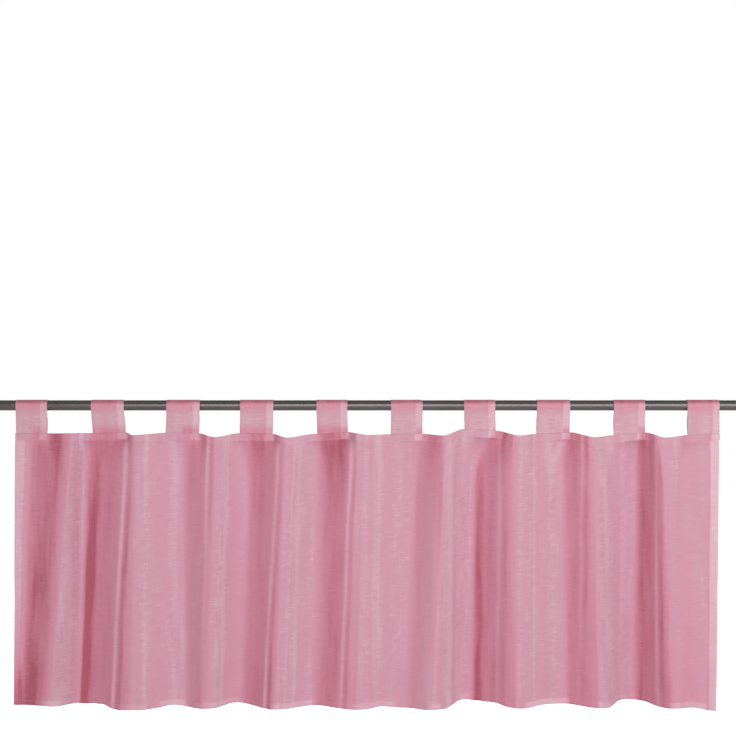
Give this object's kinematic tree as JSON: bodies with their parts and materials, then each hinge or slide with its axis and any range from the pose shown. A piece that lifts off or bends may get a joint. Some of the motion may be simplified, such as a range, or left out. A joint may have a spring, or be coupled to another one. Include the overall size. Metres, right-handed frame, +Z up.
{
  "type": "tab top cafe curtain on a rod",
  "caption": "Short sheer curtain panel with turned hems, gathered in soft uneven folds and hung by flat sewn tabs from a round metal rod.",
  "frame": {"origin": "on the rod's axis, at the middle of its length", "axes": "+X along the rod to the right as seen from the front, -Y out of the curtain's front, +Z up"},
  "size_m": [1.48, 0.0683, 0.5953],
  "materials": {
    "panel_voile": "sheer dusty rose voile with a fine slubbed weave",
    "tab_voile": "doubled dusty rose voile, flat and lightly see-through",
    "rod_metal": "dark grey satin metal"
  },
  "bodies": {
    "root": {"rod": "rod_metal", "panel": "panel_voile", "tab_01": "tab_voile", "tab_02": "tab_voile", "tab_03": "tab_voile", "tab_04": "tab_voile", "tab_05": "tab_voile", "tab_06": "tab_voile", "tab_07": "tab_voile", "tab_08": "tab_voile", "tab_09": "tab_voile", "tab_10": "tab_voile"}
  },
  "joints": []
}
